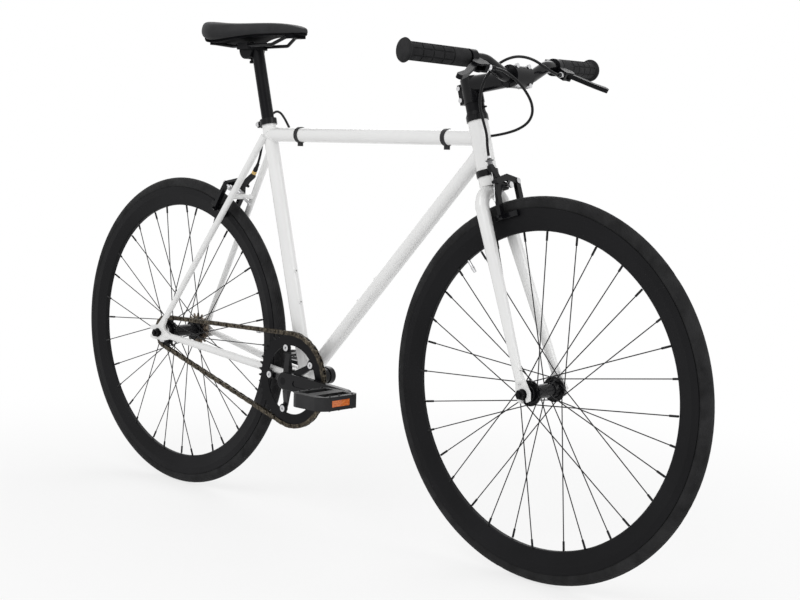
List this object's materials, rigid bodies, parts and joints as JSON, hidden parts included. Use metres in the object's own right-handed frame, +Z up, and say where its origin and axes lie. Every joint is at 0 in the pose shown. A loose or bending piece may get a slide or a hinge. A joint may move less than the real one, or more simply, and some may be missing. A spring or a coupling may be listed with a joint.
{
  "type": "fixed gear bicycle",
  "caption": "Flat-bar fixed gear bicycle with a diamond frame, deep rims, one chain drive, rim brakes, platform pedals and a padded saddle.",
  "frame": {"origin": "on the ground, midway between the two wheels and in the bicycle's middle plane", "axes": "+X forward, +Y to the rider's left, +Z up"},
  "size_m": [1.6679, 0.5212, 0.997],
  "materials": {
    "frame_paint": "glossy",
    "black_alloy": "satin black",
    "black_steel": "satin black",
    "bright_steel": "satin",
    "chain_steel": "oiled brown",
    "tyre_rubber": "matte",
    "soft_rubber": "matte",
    "black_plastic": "matte",
    "cable_sleeve": "glossy",
    "saddle_skin": "satin"
  },
  "bodies": {
    "frame": {"head_tube": "frame_paint", "top_tube": "frame_paint", "down_tube": "frame_paint", "seat_tube": "frame_paint", "bottom_bracket_shell": "frame_paint", "chain_stays": "frame_paint", "seat_stays": "frame_paint", "rear_fork_ends": "frame_paint", "headset_cups": "black_alloy", "seat_collar": "black_alloy", "frame_bolts": "bright_steel", "bottom_bracket_cartridge": "bright_steel", "rear_axle": "bright_steel", "cable_clips": "black_plastic", "rear_brake_cable": "cable_sleeve", "chain": "chain_steel"},
    "fork": {"fork_steerer": "bright_steel", "fork_crown": "frame_paint", "fork_blades": "frame_paint", "front_axle": "bright_steel", "headset_spacers": "black_alloy", "stem": "black_alloy", "stem_faceplate": "black_alloy", "front_end_bolts": "bright_steel", "handlebar": "black_alloy", "grips": "soft_rubber", "lever_brackets": "black_alloy", "front_brake_cable": "cable_sleeve"},
    "front_wheel": {"front_tyre": "tyre_rubber", "front_inner_tube": "soft_rubber", "front_rim": "black_alloy", "front_spokes": "black_steel", "front_hub": "black_alloy"},
    "rear_wheel": {"rear_tyre": "tyre_rubber", "rear_inner_tube": "soft_rubber", "rear_rim": "black_alloy", "rear_spokes": "black_steel", "rear_hub": "black_alloy", "fixed_cog": "black_steel", "cog_lockring": "bright_steel", "freewheel": "chain_steel"},
    "crankset": {"bottom_bracket_spindle": "bright_steel", "right_crank": "black_alloy", "left_crank": "black_alloy", "chainring": "black_alloy", "chainring_bolts": "bright_steel", "pedal_spindles": "bright_steel"},
    "right_pedal": {"right_pedal": "black_plastic"},
    "left_pedal": {"left_pedal": "black_plastic"},
    "saddle_post": {"seatpost": "black_alloy", "saddle_clamp": "black_alloy", "saddle_rails": "black_steel", "saddle_shell": "black_plastic", "saddle_cover": "saddle_skin"},
    "right_lever": {"right_lever": "black_alloy"},
    "left_lever": {"left_lever": "black_alloy"},
    "front_centre_arm": {"front_brake_centre_arm": "black_alloy"},
    "front_side_arm": {"front_brake_side_arm": "black_alloy"},
    "rear_centre_arm": {"rear_brake_centre_arm": "black_alloy"},
    "rear_side_arm": {"rear_brake_side_arm": "black_alloy"}
  },
  "joints": [
    {"name": "seatpost_slide", "type": "slide", "parent": "frame", "child": "saddle_post", "axis": [-0.2504, 0, 0.9681], "range_m": [-0.04, 0.055]},
    {"name": "steering", "type": "hinge", "parent": "frame", "child": "fork", "pos_m": [0.34414, 0, 0.75525], "axis": [-0.2756, 0, 0.9613], "range_deg": [-70, 70], "deforming": ["rear_brake_cable"]},
    {"name": "front_wheel_spin", "type": "hinge", "parent": "fork", "child": "front_wheel", "pos_m": [0.4975, 0, 0.3365], "axis": [0, 1, 0], "continuous": true},
    {"name": "rear_wheel_spin", "type": "hinge", "parent": "frame", "child": "rear_wheel", "pos_m": [-0.4975, 0, 0.3365], "axis": [0, 1, 0], "continuous": true, "deforming": ["chain"]},
    {"name": "crank_spin", "type": "hinge", "parent": "frame", "child": "crankset", "pos_m": [-0.09279, 0, 0.283], "axis": [0, 1, 0], "continuous": true, "deforming": ["chain"]},
    {"name": "right_pedal_spin", "type": "hinge", "parent": "crankset", "child": "right_pedal", "pos_m": [0.07702, -0.116, 0.27499], "axis": [0, 1, 0], "continuous": true},
    {"name": "left_pedal_spin", "type": "hinge", "parent": "crankset", "child": "left_pedal", "pos_m": [-0.2626, 0.116, 0.29101], "axis": [0, 1, 0], "continuous": true},
    {"name": "left_lever_pull", "type": "hinge", "parent": "fork", "child": "left_lever", "pos_m": [0.42891, 0.13021, 0.88616], "axis": [0.4992, 0.0569, 0.8646], "range_deg": [0, 24], "stiffness_Nm_per_rad": 0.6, "springref_deg": -20.05, "deforming": ["front_brake_cable"]},
    {"name": "right_lever_pull", "type": "hinge", "parent": "fork", "child": "right_lever", "pos_m": [0.42891, -0.13021, 0.88616], "axis": [-0.4992, 0.0569, -0.8646], "range_deg": [0, 24], "stiffness_Nm_per_rad": 0.6, "springref_deg": -20.05, "deforming": ["rear_brake_cable"]},
    {"name": "front_centre_arm_swing", "type": "hinge", "parent": "fork", "child": "front_centre_arm", "pos_m": [0.39916, 0, 0.68534], "axis": [0.9613, 0, 0.2756], "range_deg": [0, 1.56], "deforming": ["front_brake_cable"]},
    {"name": "front_side_arm_swing", "type": "hinge", "parent": "fork", "child": "front_side_arm", "pos_m": [0.40455, 0.024, 0.69521], "axis": [0.9613, 0, 0.2756], "range_deg": [-1.37, 0], "deforming": ["front_brake_cable"]},
    {"name": "rear_centre_arm_swing", "type": "hinge", "parent": "frame", "child": "rear_centre_arm", "pos_m": [-0.32379, 0, 0.65395], "axis": [-0.8394, 0, 0.5435], "range_deg": [0, 1.56], "deforming": ["rear_brake_cable"]},
    {"name": "rear_side_arm_swing", "type": "hinge", "parent": "frame", "child": "rear_side_arm", "pos_m": [-0.32608, -0.024, 0.66496], "axis": [-0.8394, 0, 0.5435], "range_deg": [-1.37, 0], "deforming": ["rear_brake_cable"]}
  ],
  "couplings": [
    {"joint": "crank_spin", "follows": "rear_wheel_spin", "ratio": 0.34783},
    {"joint": "front_centre_arm_swing", "follows": "left_lever_pull", "ratio": 0.064583},
    {"joint": "front_side_arm_swing", "follows": "left_lever_pull", "ratio": -0.056667},
    {"joint": "rear_centre_arm_swing", "follows": "right_lever_pull", "ratio": 0.064583},
    {"joint": "rear_side_arm_swing", "follows": "right_lever_pull", "ratio": -0.056667}
  ]
}
